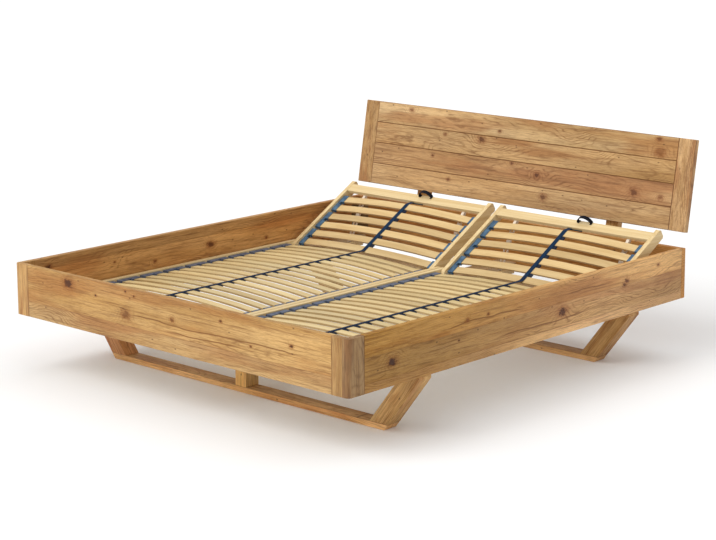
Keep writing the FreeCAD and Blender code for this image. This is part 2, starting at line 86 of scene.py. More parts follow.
# Materials
class Shader:
    """A material's node tree, with short calls for the nodes used here."""

    def __init__(self, name, roughness, **principled):
        self.material = bpy.data.materials.new(name)
        self.material.use_nodes = True
        self.tree = self.material.node_tree
        self.surface = self.tree.nodes["Principled BSDF"]
        self.surface.inputs["Roughness"].default_value = roughness
        for socket, value in principled.items():
            self.surface.inputs[socket.replace("_", " ")].default_value = value

    def node(self, kind, **settings):
        made = self.tree.nodes.new(kind)
        for key, value in settings.items():
            setattr(made, key, value)
        return made

    def feed(self, socket, value):
        """Links an output to the socket, or sets the socket to a constant."""
        if isinstance(value, bpy.types.NodeSocket):
            self.tree.links.new(value, socket)
        else:
            socket.default_value = value

    def math(self, operation, a, b=0.0, c=0.0):
        made = self.node("ShaderNodeMath", operation=operation)
        for socket, value in zip(made.inputs, (a, b, c)):
            self.feed(socket, value)
        return made.outputs[0]

    def times(self, a, b):
        return self.math("MULTIPLY", a, b)

    def plus(self, a, b):
        return self.math("ADD", a, b)

    def step(self, value, low, high, to_low=0.0, to_high=1.0):
        """value taken smoothly from low..high to to_low..to_high."""
        made = self.node("ShaderNodeMapRange", interpolation_type="SMOOTHSTEP")
        for socket, number in zip(made.inputs, (value, low, high, to_low, to_high)):
            self.feed(socket, number)
        return made.outputs[0]

    def split(self, vector):
        made = self.node("ShaderNodeSeparateXYZ")
        self.feed(made.inputs[0], vector)
        return made.outputs

    def join(self, x, y, z):
        made = self.node("ShaderNodeCombineXYZ")
        for socket, value in zip(made.inputs, (x, y, z)):
            self.feed(socket, value)
        return made.outputs[0]

    def place(self, vector, rotation=(0, 0, 0), scale=(1, 1, 1), location=(0, 0, 0)):
        made = self.node("ShaderNodeMapping")
        self.feed(made.inputs["Vector"], vector)
        made.inputs["Rotation"].default_value = [math.radians(a) for a in rotation]
        made.inputs["Scale"].default_value = scale
        made.inputs["Location"].default_value = location
        return made.outputs[0]

    def noise(self, vector, scale, detail=3.0, roughness=0.55):
        made = self.node("ShaderNodeTexNoise")
        self.feed(made.inputs["Vector"], vector)
        made.inputs["Scale"].default_value = scale
        made.inputs["Detail"].default_value = detail
        made.inputs["Roughness"].default_value = roughness
        return made.outputs[0]

    def stretched(self, vector, along, across, detail=3.0):
        """Noise drawn out along the first axis."""
        return self.noise(self.place(vector, scale=(along, across, across)), 1.0, detail)

    def chance(self, value, seed):
        """A steady random number for each whole value."""
        made = self.node("ShaderNodeTexWhiteNoise", noise_dimensions="2D")
        self.feed(made.inputs["Vector"], self.join(value, seed, 0.0))
        return made.outputs[0]

    def mix(self, share, a, b, blend="MIX"):
        """Colour a with a share of colour b. The node's colour sockets are inputs 6 and 7 and output 2."""
        made = self.node("ShaderNodeMix", data_type="RGBA", blend_type=blend)
        self.feed(made.inputs[0], share)
        for socket, value in ((made.inputs[6], a), (made.inputs[7], b)):
            self.feed(socket, (*value, 1.0) if isinstance(value, tuple) else value)
        return made.outputs[2]

    def level(self, colour, value, saturation=1.0):
        made = self.node("ShaderNodeHueSaturation")
        self.feed(made.inputs["Color"], colour)
        self.feed(made.inputs["Value"], value)
        self.feed(made.inputs["Saturation"], saturation)
        return made.outputs[0]

    def bump(self, height, distance, strength):
        made = self.node("ShaderNodeBump")
        made.inputs["Strength"].default_value = strength
        made.inputs["Distance"].default_value = distance
        self.feed(made.inputs["Height"], height)
        self.feed(self.surface.inputs["Normal"], made.outputs[0])

    def colour(self, value):
        self.feed(self.surface.inputs["Base Color"], value)

    def roughness(self, value):
        self.feed(self.surface.inputs["Roughness"], value)

    def at(self):
        """The CAD's meshes are drawn in the frame, so at rest this is the place in the frame."""
        return self.node("ShaderNodeTexCoord").outputs["Object"]


# Linear colours of oiled oak and of its knots
OAK_LIGHT = (0.635, 0.405, 0.172)
OAK_MID = (0.490, 0.287, 0.106)
OAK_GREY = (0.430, 0.282, 0.135)
OAK_RED = (0.400, 0.185, 0.062)
OAK_DARK = (0.185, 0.078, 0.024)
KNOT_RED = (0.230, 0.072, 0.018)
KNOT_DARK = (0.050, 0.014, 0.004)

RING_PITCH = 0.0068
KNOT_STRETCH = 0.70
FAR_FROM_KNOTS = 9.0
VEIN_TAPER = 0.12

# Which axes of the bed run along the grain, up the face and through the board
GRAIN_X, GRAIN_Y, GRAIN_Z = (0, 2, 1), (1, 2, 0), (2, 0, 1)


def staves(s, v, joints, tones):
    """Numbers the staves between the joints, and gives the tone of each and the seams between them. Where an
    edge bounds a face, its tone is painted light and shade.
    """
    stave, tone, seam = 0.0, tones[0], 0.0
    for height, below, above in zip(joints, tones, tones[1:]):
        over = s.math("GREATER_THAN", v, height)
        stave = s.plus(over, stave)
        tone = s.math("MULTIPLY_ADD", over, above - below, tone)
        near = s.step(s.math("ABSOLUTE", s.plus(v, -height)), 0.0013, 0.0005)
        seam = s.math("MAXIMUM", seam, near)
    return stave, tone, seam


def dark_lines(s, seam, axis, places):
    """The seams with a dark line across the axis at each place, painted shade for the grooves between planks
    and the gaps at board ends.
    """
    for place in places:
        near = s.step(s.math("ABSOLUTE", s.plus(axis, -place)), 0.0030, 0.0014, 0.0, 2.0)
        seam = s.math("MAXIMUM", seam, near)
    return seam


def large_knots(s, face, ragged, knots):
    """How many radii away the nearest knot is, and how dark a knot's core is here."""
    reach, core = FAR_FROM_KNOTS, 0.0
    for along, up, radius, dark in knots:
        spot = s.place(face, scale=(KNOT_STRETCH / radius, 1.0 / radius, 1.0),
                       location=(-along * KNOT_STRETCH / radius, -up / radius, 0.0))
        made = s.node("ShaderNodeVectorMath", operation="LENGTH")
        s.feed(made.inputs[0], spot)
        away = made.outputs["Value"]
        reach = s.math("MINIMUM", reach, away)
        core = s.math("MAXIMUM", core, s.step(s.plus(away, ragged), 1.25, 0.50, 0.0, dark))
    return reach, core


def pin_knots(s, long, ragged):
    """Small knots and specks scattered over the face."""
    specks = s.node("ShaderNodeTexVoronoi", voronoi_dimensions="2D", feature="F1")
    s.feed(specks.inputs["Vector"], s.place(long, scale=(9.0, 17.0, 1.0)))
    specks.inputs["Scale"].default_value = 1.0
    rare = s.step(s.split(specks.outputs["Color"])[0], 0.76, 0.78)
    near = s.step(s.plus(specks.outputs["Distance"], s.times(ragged, 0.03)), 0.070, 0.015)
    return s.times(near, rare)


def growth_rings(s, long, v, pick, swirl, centre, flame):
    """Late wood of a log whose heart lies behind the face, and how much of it shows."""
    heart = s.times(s.plus(s.stretched(long, 2.3, 5.0, 2.0), -0.5), 0.19 * flame)
    up = s.plus(s.plus(v, s.math("MULTIPLY_ADD", pick, 0.06, -0.03 - centre)), heart)
    deep = s.plus(s.times(s.stretched(long, 1.1, 1.5, 1.0), 0.10), 0.02)
    radius = s.math("SQRT", s.plus(s.times(up, up), s.times(deep, deep)))
    radius = s.math("MULTIPLY_ADD", swirl, 0.020, radius)
    radius = s.math("MULTIPLY_ADD", s.stretched(long, 14.0, 60.0, 4.0), 0.0085, radius)
    wave = s.math("MULTIPLY_ADD", s.math("SINE", s.times(radius, math.tau / RING_PITCH)), 0.5, 0.5)
    broken = s.step(s.stretched(long, 12.0, 70.0, 2.0), 0.30, 0.60, 0.25, 1.0)
    late = s.times(s.math("POWER", wave, 4.0), broken)
    patch = s.step(s.stretched(long, 2.1, 11.0, 3.0), 0.44, 0.66, 0.12, 0.75)
    return late, s.times(late, s.math("MAXIMUM", patch, s.times(swirl, 0.5)))


def vein(s, long, u, v, height, start, end):
    """A dark line that wanders about a height from start to end."""
    wander = s.math("MULTIPLY_ADD", s.stretched(long, 2.6, 1.0, 3.0), 0.060, -0.030)
    away = s.math("ABSOLUTE", s.plus(s.plus(v, -height), wander))
    inside = s.times(s.step(u, start, start + VEIN_TAPER), s.step(u, end, end - VEIN_TAPER))
    return s.times(s.step(away, 0.0042, 0.0008), s.times(inside, 0.85))


def oak(name, grain, seed, tint=(1.0, 1.0, 1.0), joints=(), tones=(1.0,), knots=(), tilt=0.0, flame=1.0,
        centre=0.36, grooves=(), cuts=(), fade=None, veins=(), spread=1.0):
    """Oiled knotty oak, seen by its grain axes: along, up the face and through the board.
    joints are the heights where staves meet, and on some pieces the edges of faces given painted light and
    shade, and tones their brightness from the lowest up, knots are (along, up, radius, darkness), tilt turns
    the grain in degrees, flame is how wild the figure is, centre is the height of the log's heart, grooves
    and cuts are dark lines of painted shade at a height or across the board, fade is (from, to, first tone,
    last tone) along the board, veins are dark wandering lines as (height, from, to), and spread makes the
    broad tones finer."""
    s = Shader(name, 0.5, Specular_IOR_Level=0.30)
    axes = s.split(s.place(s.at(), rotation=(0, tilt, 0)))
    u, v, w = [axes[i] for i in grain]
    stave, tone, seam = staves(s, v, joints, tones)
    seam = dark_lines(s, seam, v, grooves)
    seam = dark_lines(s, seam, u, cuts)
    pick = s.chance(stave, seed)
    face = s.join(u, v, 0.0)
    # places moved by the seed and the stave, so that no two boards share their figure
    long = s.join(s.math("MULTIPLY_ADD", pick, 3.7, s.plus(u, seed * 1.37)),
                  s.plus(v, seed * 0.61), s.plus(w, seed * 0.29))
    ragged = s.times(s.plus(s.noise(long, 70.0, 3.0), -0.5), 1.9)
    ragged = s.plus(ragged, s.times(s.plus(s.noise(long, 260.0, 2.0), -0.5), 1.2))
    reach, core = large_knots(s, face, ragged, knots)
    swirl = s.step(reach, 4.6, 0.3)
    halo = s.step(s.plus(reach, ragged), 2.6, 0.5)
    pin = pin_knots(s, long, ragged)
    late, rings = growth_rings(s, long, v, pick, swirl, centre, flame)
    # streaks, pores and short cracks along the grain
    streaks = s.stretched(long, 4.5, 120.0, 4.0)
    fine = s.stretched(long, 16.0, 420.0, 3.0)
    pores = s.step(s.stretched(long, 34.0, 700.0, 2.0), 0.52, 0.68)
    cracks = s.step(s.stretched(long, 7.0, 170.0, 1.0), 0.70, 0.74)
    cracks = s.times(cracks, s.math("MAXIMUM", s.step(reach, 4.5, 1.0), 0.22))
    # broad tones of the heartwood
    pale = s.stretched(long, 1.3 * spread, 14.0 * spread, 4.0)
    grey = s.stretched(long, 1.2 * spread, 6.0 * spread, 3.0)
    red = s.stretched(s.place(long, location=(7.3, 2.9, 0.0)), 1.4 * spread, 9.0 * spread, 3.0)
    base = s.mix(s.step(pale, 0.36, 0.64), OAK_MID, OAK_LIGHT)
    base = s.mix(s.step(grey, 0.52, 0.70, 0.0, 0.45), base, OAK_GREY)
    base = s.mix(s.step(red, 0.50, 0.66, 0.0, 0.75), base, OAK_RED)
    # darker lines over them, then the knots and the seams
    base = s.mix(rings, base, OAK_DARK)
    base = s.mix(s.step(streaks, 0.47, 0.72, 0.0, 0.60), base, OAK_DARK)
    base = s.mix(s.step(fine, 0.48, 0.72, 0.0, 0.48), base, OAK_DARK)
    for height, start, end in veins:
        base = s.mix(vein(s, long, u, v, height, start, end), base, OAK_DARK)
    base = s.mix(s.times(pores, 0.34), base, OAK_DARK)
    base = s.mix(s.times(halo, s.math("MULTIPLY_ADD", core, 0.25, 0.62)), base, KNOT_RED)
    base = s.mix(s.math("MAXIMUM", core, s.times(pin, 0.7)), base, KNOT_DARK)
    base = s.mix(s.times(cracks, 0.75), base, KNOT_DARK)
    # the seams: dark stave joints, with painted shade in the grooves and the gaps at the board ends
    base = s.mix(s.times(seam, 0.40), base, OAK_DARK)
    base = s.mix(1.0, base, tint, "MULTIPLY")
    saturation = s.math("MULTIPLY_ADD", pick, 0.12, 0.96)
    if fade:
        far = s.step(u, *fade)
        tone = s.times(far, tone)
        saturation = s.times(saturation, s.math("MULTIPLY_ADD", far, -0.35, 1.35))
    # broad tones at random, times the staves' tones, which on some pieces are painted light and shade
    shade = s.stretched(long, 1.3 * spread, 5.0 * spread, 3.0)
    shade = s.times(s.math("MULTIPLY_ADD", shade, 0.70, 0.67), tone)
    s.colour(s.level(base, shade, saturation))
    s.roughness(s.math("MULTIPLY_ADD", pores, 0.18, s.math("MULTIPLY_ADD", late, 0.07, 0.47)))
    dents = s.plus(s.times(pores, 0.6), s.plus(cracks, s.times(core, 0.5)))
    s.bump(s.math("SUBTRACT", s.times(late, 0.25), dents), 0.0007, 0.6)
    return s.material


BIRCH_FLECK, BIRCH_GLUE = (0.33, 0.19, 0.07), (0.30, 0.155, 0.052)
PLY_THICK = 0.0027


def birch(name, crown, pitch, first, light, dark, raised=False):
    """Laminated birch slats: each slat has a tone of its own, and its plies show at the edges."""
    s = Shader(name, 0.40, Specular_IOR_Level=0.38)
    x, y, z = s.split(s.at())
    if raised:
        flat_y = s.math("MULTIPLY_ADD", y, math.cos(RAISED), s.times(z, math.sin(RAISED)))
        flat_z = s.math("MULTIPLY_ADD", y, -math.sin(RAISED), s.times(z, math.cos(RAISED)))
        y, z = flat_y, flat_z
    number = s.math("ROUND", s.times(s.plus(y, -first), 1 / pitch))
    pick = s.chance(number, 3.7)
    beside = s.plus(s.math("ABSOLUTE", x), -BASE_CENTRES["right_"])
    depth = s.math("MULTIPLY_ADD", s.times(beside, beside), 0.5 / SLAT_BOW_RADIUS, s.plus(z, -crown))
    local = s.join(s.math("MULTIPLY_ADD", pick, 9.0, x), y, z)
    fine = s.stretched(local, 6.0, 420.0, 3.0)
    broad = s.stretched(local, 1.6, 30.0, 3.0)
    flecks = s.step(s.stretched(local, 55.0, 900.0, 1.0), 0.60, 0.74)
    base = s.mix(s.step(s.math("MULTIPLY_ADD", fine, 0.4, s.times(broad, 0.75)), 0.35, 0.85), light, dark)
    base = s.mix(s.times(flecks, 0.22), base, BIRCH_FLECK)
    ply = s.math("SINE", s.times(depth, math.tau / PLY_THICK))
    inside = s.step(depth, -0.0006, -0.0016)
    base = s.mix(s.times(inside, s.step(ply, 0.1, 0.9, 0.30, 0.85)), base, BIRCH_GLUE)
    s.colour(s.level(base, s.math("MULTIPLY_ADD", pick, 0.20, 0.88)))
    s.roughness(s.math("MULTIPLY_ADD", fine, 0.2, 0.32))
    s.bump(s.plus(fine, s.times(s.times(inside, ply), 0.6)), 0.0002, 0.4)
    return s.material


def pale_wood(name, grain, light, dark):
    """Spruce with fine straight grain and a few broader summer bands."""
    s = Shader(name, 0.45, Specular_IOR_Level=0.35)
    axes = s.split(s.at())
    local = s.join(*[axes[i] for i in grain])
    fine = s.stretched(local, 5.0, 380.0, 3.0)
    bands = s.stretched(local, 0.8, 75.0, 3.0)
    flecks = s.step(s.stretched(local, 60.0, 900.0, 1.0), 0.62, 0.75)
    base = s.mix(s.step(s.math("MULTIPLY_ADD", fine, 0.45, s.times(bands, 0.7)), 0.38, 0.82), light, dark)
    base = s.mix(s.times(flecks, 0.2), base, tuple(c * 0.55 for c in dark))
    s.colour(base)
    s.roughness(s.math("MULTIPLY_ADD", fine, 0.18, 0.36))
    s.bump(fine, 0.0002, 0.4)
    return s.material


def rubber(name, colour, worn):
    """Moulded rubber with a fine matt grain and paler rubbed places."""
    s = Shader(name, 0.55)
    cloud = s.noise(s.at(), 45.0, 3.0)
    grain = s.noise(s.at(), 1400.0, 2.0)
    s.colour(s.mix(s.step(cloud, 0.38, 0.68), colour, worn))
    s.roughness(s.math("MULTIPLY_ADD", grain, 0.2, 0.42))
    s.bump(grain, 0.0002, 0.4)
    return s.material


def webbing(name, dark, light, across, pitch=0.0015):
    """Woven strap. across names the axis over the strap's width, the ribs run the other way."""
    s = Shader(name, 0.78, Sheen_Weight=0.03, Specular_IOR_Level=0.15)
    x, y, z = s.split(s.at())
    along = s.math("MULTIPLY_ADD", z, 0.6, y if across == "x" else x)
    over = x if across == "x" else s.math("MULTIPLY_ADD", z, 0.3, y)
    warp = s.math("SINE", s.times(over, math.tau / pitch))
    weft = s.math("SINE", s.times(along, math.tau / pitch))
    weave = s.math("MULTIPLY_ADD", s.times(warp, weft), 0.5, 0.5)
    fuzz = s.noise(s.at(), 900.0, 3.0)
    s.colour(s.mix(s.math("MULTIPLY_ADD", weave, 0.6, s.times(fuzz, 0.35)), dark, light))
    s.roughness(s.math("MULTIPLY_ADD", weave, -0.12, 0.84))
    s.bump(s.math("MULTIPLY_ADD", fuzz, 0.5, weave), 0.0004, 0.7)
    return s.material


def steel(name, colour, roughness, metallic=0.85):
    """Plated or lacquered steel with faint clouds and brushed lines."""
    s = Shader(name, roughness, Metallic=metallic)
    clouds = s.noise(s.at(), 90.0, 4.0)
    lines = s.noise(s.place(s.at(), scale=(1800.0, 1800.0, 60.0)), 1.0, 2.0)
    s.colour(s.mix(s.step(clouds, 0.35, 0.7), tuple(c * 0.82 for c in colour), colour))
    s.roughness(s.math("MULTIPLY_ADD", clouds, 0.22, roughness - 0.1))
    s.bump(lines, 0.00008, 0.4)
    return s.material


# The slats, rails, rubber and metal of the bases. A raised head section's slats are numbered in its own
# turned axes, where their first place and their crown are these
RAISED_FIRST = PIVOT_Y * math.cos(RAISED) + PIVOT_Z * math.sin(RAISED) + FIRST_HEAD_SLAT
RAISED_CROWN = HEAD_SLAT_CROWN - PIVOT_Z + PIVOT_Z * math.cos(RAISED) - PIVOT_Y * math.sin(RAISED)
SLAT_LIGHT, SLAT_DARK = (0.745, 0.590, 0.305), (0.575, 0.405, 0.175)
HEAD_SLAT_LIGHT, HEAD_SLAT_DARK = (0.690, 0.505, 0.245), (0.520, 0.335, 0.132)
CREAM_LIGHT, CREAM_DARK = (0.780, 0.620, 0.345), (0.600, 0.405, 0.170)
HIDDEN_LIGHT, HIDDEN_DARK = (0.60, 0.43, 0.24), (0.46, 0.30, 0.15)

slat_wood = birch("slat_birch", SLAT_CROWN, SLAT_PITCH, LAST_SLAT, SLAT_LIGHT, SLAT_DARK)
head_slat_wood = birch("head_slat_birch", RAISED_CROWN, HEAD_SLAT_PITCH, RAISED_FIRST,
                       HEAD_SLAT_LIGHT, HEAD_SLAT_DARK, raised=True)
rail_wood = pale_wood("base_rail_wood", GRAIN_Y, CREAM_LIGHT, CREAM_DARK)
cross_wood = pale_wood("base_cross_wood", GRAIN_X, CREAM_LIGHT, CREAM_DARK)
hidden_wood = pale_wood("bearer_wood", GRAIN_Y, HIDDEN_LIGHT, HIDDEN_DARK)
hidden_across = pale_wood("cross_bearer_wood", GRAIN_X, HIDDEN_LIGHT, HIDDEN_DARK)
cap_rubber = rubber("cap_rubber", (0.060, 0.078, 0.125), (0.115, 0.140, 0.200))
# The head sections' caps are the same rubber; their brighter, bluer colour is painted light on the raised
# sections
lit_head_cap_rubber = rubber("lit_head_cap_rubber", (0.030, 0.080, 0.150), (0.070, 0.150, 0.240))
clip_plastic = rubber("clip_plastic", (0.003, 0.007, 0.024), (0.007, 0.015, 0.042))
bar_plastic = rubber("tie_bar_plastic", (0.006, 0.012, 0.016), (0.014, 0.024, 0.028))
belt_weave = webbing("belt_webbing", (0.001, 0.007, 0.026), (0.002, 0.022, 0.068), "x")
head_belt_weave = webbing("head_belt_webbing", (0.001, 0.011, 0.038), (0.002, 0.034, 0.086), "x")
loop_weave = webbing("loop_webbing", (0.0015, 0.002, 0.005), (0.004, 0.006, 0.014), "y")
thread = webbing("loop_thread", (0.010, 0.018, 0.045), (0.030, 0.050, 0.110), "y", 0.0008)
cream_steel = steel("cream_lacquered_steel", (0.86, 0.735, 0.590), 0.42, 0.15)
bronze_steel = steel("bronze_lacquered_steel", (0.200, 0.112, 0.045), 0.48, 0.2)
dark_zinc = steel("bolt_steel", (0.62, 0.62, 0.62), 0.34)


def ends(node, axis):
    """Where a board starts and ends along one axis."""
    low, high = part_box(node)
    return low[axis], high[axis]


def dress(node, material, ease):
    """Gives a CAD node its material and worn edges of the width ease."""
    piece = nodes[node]
    piece.data.materials.clear()
    piece.data.materials.append(material)
    for polygon in piece.data.polygons:
        polygon.material_index = 0
    bevel = piece.modifiers.new("worn_edges", "BEVEL")
    bevel.width = ease
    bevel.segments = 2
    bevel.limit_method = "ANGLE"
    bevel.angle_limit = math.radians(40)
    bevel.harden_normals = False


# Boards of the frame, with the knots and veins where the photograph shows them
OAK_EDGE, PLANK_EDGE, HIDDEN_EDGE = 0.0008, 0.0006, 0.001
BOARDS = {
    "foot_board": dict(
        grain=GRAIN_X, seed=11.4, tint=(1.0, 1.0, 1.02), joints=(0.301,), tones=(0.97, 1.03),
        cuts=ends("foot_board", 0),
        knots=((-0.60, 0.415, 0.017, 0.85), (-0.43, 0.393, 0.004, 0.9), (-0.25, 0.437, 0.004, 0.9),
               (-0.20, 0.425, 0.004, 0.9), (-0.25, 0.345, 0.015, 0.35), (0.29, 0.408, 0.005, 0.7),
               (0.66, 0.378, 0.006, 0.85), (0.02, 0.368, 0.007, 0.5), (0.45, 0.340, 0.004, 0.5)),
        veins=((0.348, -0.27, 0.74), (0.322, -0.05, 0.45), (0.300, -0.55, -0.15))),
    "side_rail_left": dict(
        grain=GRAIN_Y, seed=3.1, tint=(1.15, 1.02, 0.95), joints=(0.405,), tones=(1.05, 0.82), centre=0.34,
        knots=((-0.02, 0.362, 0.013, 0.75), (-0.35, 0.338, 0.006, 0.5), (0.33, 0.341, 0.006, 0.5),
               (-0.94, 0.408, 0.010, 0.8), (-0.58, 0.372, 0.004, 0.5))),
    "side_rail_right": dict(
        grain=GRAIN_Y, seed=10.6, tint=(0.98, 0.90, 0.80), joints=(0.2690, 0.365), tones=(1.15, 0.93, 1.06),
        cuts=ends("side_rail_right", 1), fade=(-1.1, 0.5, 0.70, 1.17),
        knots=((-0.86, 0.325, 0.014, 0.85), (0.14, 0.328, 0.016, 0.85), (0.57, 0.380, 0.008, 0.7),
               (0.555, 0.366, 0.007, 0.7), (-0.44, 0.402, 0.006, 0.25), (-0.49, 0.333, 0.003, 0.8),
               (-0.32, 0.403, 0.005, 0.5), (0.79, 0.411, 0.006, 0.7)),
        veins=((0.388, -0.62, -0.05), (0.397, 0.10, 0.50), (0.300, -0.30, 0.35))),
    "head_end_board": dict(
        grain=GRAIN_X, seed=15.2, tint=(1.02, 0.82, 0.66), joints=(0.33,), tones=(1.0, 0.95),
        knots=((-0.45, 0.38, 0.012, 0.7), (0.52, 0.29, 0.009, 0.6))),
}
for node, look in BOARDS.items():
    dress(node, oak("oak_" + node, **look), OAK_EDGE)

# Planks of the headboard, numbered from the lowest
PLANK_LOW, PLANK_STEP = 0.5170, 0.0971
PLANKS = {
    # The top plank's pale, bluish tint is partly the wood's own tone and partly a painted sheen
    4: dict(tint=(1.07, 1.16, 1.42), flame=1.2, fade=(-0.7, 0.7, 1.06, 0.92),
            knots=((-0.65, 0.884, 0.008, 0.35), (0.76, 0.889, 0.009, 0.45), (-0.11, 0.836, 0.006, 0.5),
                   (0.77, 0.834, 0.014, 0.2))),
    3: dict(tint=(0.93, 0.94, 1.07), flame=1.5, fade=(0.2, 0.8, 1.02, 0.96),
            knots=((-0.21, 0.789, 0.013, 0.65), (-0.43, 0.790, 0.006, 0.2))),
    2: dict(tint=(0.94, 0.88, 0.92), flame=0.8, fade=(-0.8, 0.1, 0.92, 1.03),
            knots=((-0.49, 0.686, 0.005, 0.5), (-0.02, 0.701, 0.006, 0.6), (0.13, 0.664, 0.009, 0.65),
                   (0.66, 0.653, 0.013, 0.55), (0.80, 0.648, 0.008, 0.25))),
    1: dict(tint=(1.06, 1.06, 1.13), flame=1.7,
            knots=((-0.38, 0.588, 0.006, 0.5), (0.18, 0.574, 0.011, 0.5))),
}
for number, look in PLANKS.items():
    node = "headboard_plank_" + str(number)
    low_edge = PLANK_LOW + PLANK_STEP * (number - 1)
    wood = oak("oak_plank_" + str(number), GRAIN_X, 15.9 + 5.3 * number, centre=low_edge + PLANK_STEP / 2,
               grooves=(low_edge, low_edge + PLANK_STEP), cuts=ends(node, 0), **look)
    dress(node, wood, PLANK_EDGE)

# Pieces with upright grain
UPRIGHTS = {
    "foot_corner_left": dict(tint=(1.06, 0.98, 0.80)),
    # The right foot post's side toward +x, beyond x 0.912, is painted darker as painted shade
    "foot_corner_right": dict(tint=(0.90, 0.85, 0.80), joints=(0.912,), tones=(0.80, 0.66)),
    "headboard_stile_left": dict(tint=(0.82, 0.79, 0.82)),
    "headboard_stile_right": dict(tint=(0.98, 0.98, 1.12)),
    "headboard_bracket_left": dict(tint=(1.0, 0.95, 0.92)),
    "headboard_bracket_right": dict(tint=(1.0, 0.95, 0.92)),
    # The front centre block's strong tint is painted light on a block in the bed's shade; its front is
    # painted lighter as painted light and its side toward +x darker as painted shade
    "front_centre_block": dict(tint=(1.45, 1.50, 1.50), joints=(0.0295,), tones=(1.15, 0.80)),
    "rear_centre_block": dict(tint=(1.2, 1.2, 1.2)),
}
for seed, (node, look) in enumerate(UPRIGHTS.items()):
    dress(node, oak("oak_" + node, GRAIN_Z, 41.3 + 3.7 * seed, flame=0.5, spread=2.4, **look), OAK_EDGE)

# Sleds: the top of a runner is painted darker than its edge, as painted shade from the bed above it, and the
# front runner's strong tint is painted light on a runner the bed shades
RUNNER_EDGE = 0.0228
RUNNERS = {"front_runner": (1.56, 1.52, 1.66), "rear_runner": (1.2, 1.1, 1.05)}
for seed, (node, tint) in enumerate(RUNNERS.items()):
    wood = oak("oak_" + node, GRAIN_X, 75.2 + 3.3 * seed, tint, joints=(RUNNER_EDGE,), tones=(1.05, 0.66),
               flame=0.7, spread=1.8)
    dress(node, wood, OAK_EDGE)
LEG_TILT = 38.0
LEGS = {
    "front_leg_left": (1.00, 0.78, 0.74),
    "front_leg_right": (1.15, 1.16, 1.18),
    "rear_leg_left": (0.96, 0.88, 0.80),
    "rear_leg_right": (0.96, 0.88, 0.78),
}
for seed, (node, tint) in enumerate(LEGS.items()):
    tilt = LEG_TILT if node.endswith("left") else -LEG_TILT
    wood = oak("oak_" + node, GRAIN_Z, 88.8 + 4.1 * seed, tint, tilt=tilt, flame=0.6, spread=2.4)
    dress(node, wood, OAK_EDGE)

# Bearers, fittings and the slatted bases, each with its finish and worn edge
for node in ("side_cleat_left", "side_cleat_right", "centre_beam"):
    dress(node, hidden_wood, HIDDEN_EDGE)
for node in ("front_cross_beam", "rear_cross_beam"):
    dress(node, hidden_across, HIDDEN_EDGE)
dress("corner_angles", bronze_steel, 0.0004)
dress("bracket_bolts", dark_zinc, 0.0004)
BASE_FINISHES = {
    "slats": (slat_wood, 0.0012),
    "head_slats": (head_slat_wood, 0.0012),
    "base_side_rails": (rail_wood, 0.0006),
    "head_side_rails": (rail_wood, 0.0025),
    "base_cross_rails": (cross_wood, 0.0006),
    "head_cross_rail": (cross_wood, 0.0006),
    "caps": (cap_rubber, 0.0010),
    "head_caps": (lit_head_cap_rubber, 0.0010),
    "hinge_bolts": (dark_zinc, 0.0004),
    "ratchet_tracks": (bronze_steel, 0.0003),
    "stay_saddles": (cream_steel, 0.0004),
    "stays": (cream_steel, 0.0004),
}
for side in BASE_CENTRES:
    for piece, (material, ease) in BASE_FINISHES.items():
        dress(side + piece, material, ease)


# Belts, clips, tie bars and pull loops, which stand in for the plain ones of the CAD
def on_base(centre, x, y, z):
    """A place of the fixed part of a base, x from the base's middle line."""
    return Vector((centre + x, y, z))


def on_head(centre, x, s, z):
    """A place of the flat head section, s from its pivot, once the section is raised."""
    over = z - PIVOT_Z
    y = PIVOT_Y + s * math.cos(RAISED) - over * math.sin(RAISED)
    return Vector((centre + x, y, PIVOT_Z + s * math.sin(RAISED) + over * math.cos(RAISED)))


def loft(rings):
    """Points and faces of a closed body drawn through rings of points."""
    points, faces = [], []
    count = len(rings[0])
    for i, ring in enumerate(rings):
        points += ring
        if i:
            a, b = (i - 1) * count, i * count
            faces += [(a + k, a + (k + 1) % count, b + (k + 1) % count, b + k) for k in range(count)]
    faces.append(tuple(range(count))[::-1])
    faces.append(tuple(range(len(points) - count, len(points))))
    return points, faces


def build(name, bodies, material, body, smooth=40.0):
    """One piece made of closed bodies, which rides on a body of the CAD, or on none where it is ""."""
    points, faces = [], []
    for body_points, body_faces in bodies:
        faces += [tuple(i + len(points) for i in face) for face in body_faces]
        points += body_points
    mesh = bpy.data.meshes.new(name)
    mesh.from_pydata([tuple(p) for p in points], [], faces)
    shaped = bmesh.new()
    shaped.from_mesh(mesh)
    bmesh.ops.recalc_face_normals(shaped, faces=shaped.faces)
    for edge in shaped.edges:
        edge.smooth = len(edge.link_faces) == 2 and edge.calc_face_angle(0.0) < math.radians(smooth)
    for face in shaped.faces:
        face.smooth = True
    shaped.to_mesh(mesh)
    shaped.free()
    mesh.materials.append(material)
    made = bpy.data.objects.new(name, mesh)
    bpy.context.scene.collection.objects.link(made)
    if body:
        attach(made, body)
    return made


def path_length(path):
    return sum((b - a).length for a, b in zip(path, path[1:]))


def steps(low, high, size):
    """Even places from low to high, about size apart."""
    count = max(2, round((high - low) / size))
    return [low + (high - low) * i / count for i in range(count + 1)]


# A strap's section: rounded corners, thicker woven edges and a thinner web between them
STRAP_ROUND, STRAP_CORNER = 0.0003, 0.0004
STRAP_EDGE, STRAP_SLOPE, STRAP_WEB = 0.0012, 0.0006, 0.78


